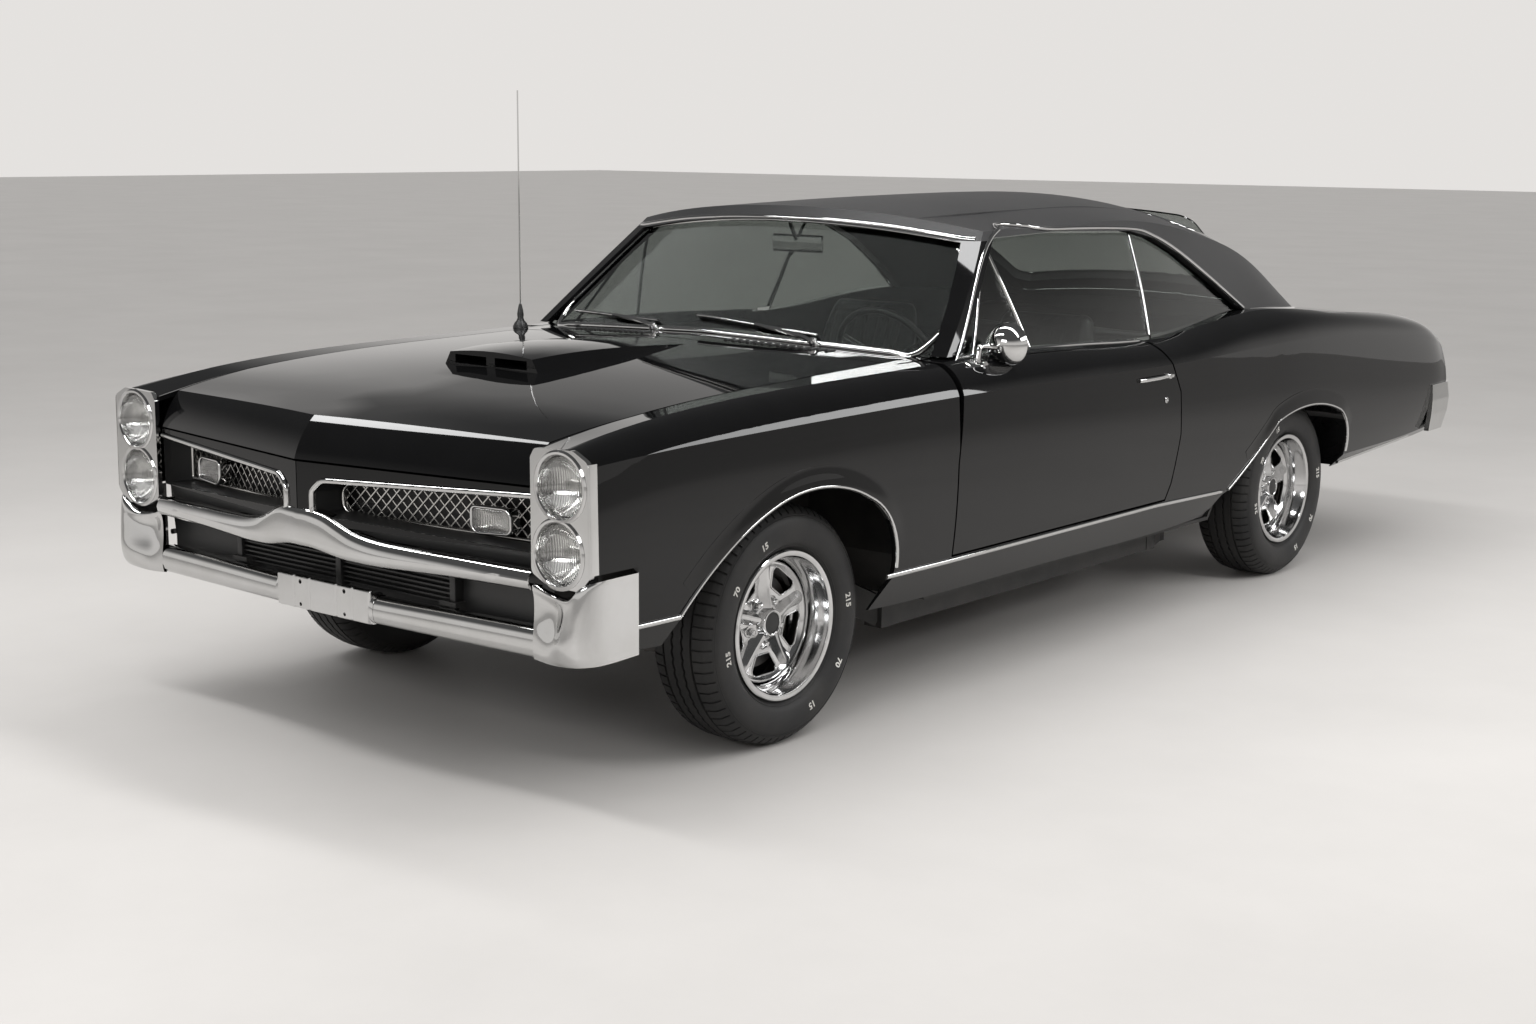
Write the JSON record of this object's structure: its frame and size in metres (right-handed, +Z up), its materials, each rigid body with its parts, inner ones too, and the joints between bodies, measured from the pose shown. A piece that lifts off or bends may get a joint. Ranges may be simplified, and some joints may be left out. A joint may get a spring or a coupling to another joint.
{
  "type": "two-door hardtop muscle car",
  "caption": "Black hardtop muscle car with stacked headlamps, split mesh grille, scooped hood, dark vinyl roof and spoked wheels; it rolls and steers, and its doors, hood and trunk lid open.",
  "frame": {"origin": "on the ground, under the middle of the car's length and width", "axes": "+X toward the car's left (the driver's side), +Y toward its tail, +Z up; the car faces -Y"},
  "size_m": [1.8958, 5.2481, 1.737],
  "materials": {
    "body_paint": "gloss black enamel",
    "vinyl_top": "grained dark vinyl",
    "chrome_trim": "bright chrome plate",
    "clear_glass": "lightly tinted glass",
    "lamp_lens": "fluted clear lens",
    "red_lens": "red lens",
    "tyre_rubber": "black rubber",
    "styled_wheel": "plated and argent steel",
    "black_trim": "satin black",
    "bright_mesh": "bright wire mesh",
    "seat_vinyl": "black grained vinyl",
    "chassis_black": "chassis black",
    "iron_parts": "bare and painted iron",
    "exhaust_steel": "aluminized steel"
  },
  "bodies": {
    "body": {"fender_left": "body_paint", "fender_right": "body_paint", "quarter_left": "body_paint", "quarter_right": "body_paint", "roof": "vinyl_top", "windshield_pillars": "body_paint", "windshield": "clear_glass", "rear_glass": "clear_glass", "quarter_glass": "clear_glass", "rockers": "body_paint", "front_bumper": "chrome_trim", "rear_bumper": "chrome_trim", "lamp_bezels": "chrome_trim", "headlamps": "lamp_lens", "parking_lamps": "lamp_lens", "tail_lamps": "red_lens", "nose_panel": "body_paint", "grille_surround": "black_trim", "grille_mesh": "bright_mesh", "floor_pan": "chassis_black", "wheelhouses": "chassis_black", "cowl": "body_paint", "rear_bulkhead": "body_paint", "chassis": "chassis_black", "inner_fenders": "chassis_black", "radiator_support": "chassis_black", "engine": "iron_parts", "rear_axle": "iron_parts", "driveshaft": "iron_parts", "front_suspension": "iron_parts", "exhaust": "exhaust_steel", "fuel_tank": "exhaust_steel", "front_seats": "seat_vinyl", "rear_seat": "seat_vinyl", "dash": "black_trim", "steering_wheel": "black_trim", "antenna": "chrome_trim"},
    "hood": {"hood": "body_paint"},
    "trunk_lid": {"trunk_lid": "body_paint"},
    "door_left": {"door_left": "body_paint", "door_glass_left": "clear_glass", "door_handle_left": "chrome_trim", "mirror_left": "chrome_trim"},
    "door_right": {"door_right": "body_paint", "door_glass_right": "clear_glass", "door_handle_right": "chrome_trim"},
    "knuckle_left": {"knuckle_left": "iron_parts"},
    "knuckle_right": {"knuckle_right": "iron_parts"},
    "wheel_fl": {"rim_fl": "styled_wheel", "tyre_fl": "tyre_rubber"},
    "wheel_fr": {"rim_fr": "styled_wheel", "tyre_fr": "tyre_rubber"},
    "wheel_rl": {"rim_rl": "styled_wheel", "tyre_rl": "tyre_rubber"},
    "wheel_rr": {"rim_rr": "styled_wheel", "tyre_rr": "tyre_rubber"}
  },
  "joints": [
    {"name": "hood_hinge", "type": "hinge", "parent": "body", "child": "hood", "pos_m": [0, -1.113, 0.985], "axis": [-1, 0, 0], "range_deg": [0, 50]},
    {"name": "trunk_hinge", "type": "hinge", "parent": "body", "child": "trunk_lid", "pos_m": [0, 1.712, 0.975], "axis": [1, 0, 0], "range_deg": [0, 65]},
    {"name": "door_left_hinge", "type": "hinge", "parent": "body", "child": "door_left", "pos_m": [0.932, -0.996, 0.65], "axis": [0, 0, -1], "range_deg": [0, 65]},
    {"name": "door_right_hinge", "type": "hinge", "parent": "body", "child": "door_right", "pos_m": [-0.932, -0.996, 0.65], "axis": [0, 0, 1], "range_deg": [0, 65]},
    {"name": "steer_left", "type": "hinge", "parent": "body", "child": "knuckle_left", "pos_m": [0.69, -1.684, 0.325], "axis": [0, 0, 1], "range_deg": [-30, 30]},
    {"name": "steer_right", "type": "hinge", "parent": "body", "child": "knuckle_right", "pos_m": [-0.69, -1.684, 0.325], "axis": [0, 0, 1], "range_deg": [-30, 30]},
    {"name": "spin_front_left", "type": "hinge", "parent": "knuckle_left", "child": "wheel_fl", "pos_m": [0.748, -1.684, 0.325], "axis": [1, 0, 0], "continuous": true},
    {"name": "spin_front_right", "type": "hinge", "parent": "knuckle_right", "child": "wheel_fr", "pos_m": [-0.748, -1.684, 0.325], "axis": [1, 0, 0], "continuous": true},
    {"name": "spin_rear_left", "type": "hinge", "parent": "body", "child": "wheel_rl", "pos_m": [0.748, 1.237, 0.325], "axis": [1, 0, 0], "continuous": true},
    {"name": "spin_rear_right", "type": "hinge", "parent": "body", "child": "wheel_rr", "pos_m": [-0.748, 1.237, 0.325], "axis": [1, 0, 0], "continuous": true}
  ],
  "couplings": [
    {"joint": "steer_right", "follows": "steer_left", "ratio": 1}
  ]
}
